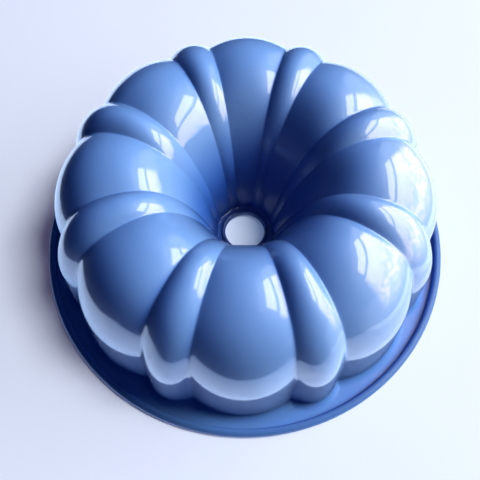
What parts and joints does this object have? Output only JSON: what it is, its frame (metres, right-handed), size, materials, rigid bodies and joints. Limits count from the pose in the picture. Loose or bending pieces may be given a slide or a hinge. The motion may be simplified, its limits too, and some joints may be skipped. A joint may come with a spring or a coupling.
{
  "type": "fluted tube pan",
  "caption": "Round fluted baking pan with an open central tube, alternating wide and narrow lobes, a flat flange and a wired rolled rim, standing upside down on its rim.",
  "frame": {"origin": "on the pan's axis, in the plane of the flange face that the upturned pan rests on", "axes": "+Z along the pan's axis from the rim to the crown of the flutes; -Y through the middle of a wide lobe, towards the viewer; +X to the viewer's right"},
  "size_m": [0.25, 0.25, 0.087],
  "materials": {
    "blue_coat": "glossy metallic blue baking enamel on drawn sheet",
    "ferrule_coat": "glossy metallic blue baking enamel",
    "wire_steel": "drawn steel wire"
  },
  "bodies": {
    "root": {"fluted_shell": "blue_coat", "tube_ferrule": "ferrule_coat", "rim_wire": "wire_steel"}
  },
  "joints": []
}
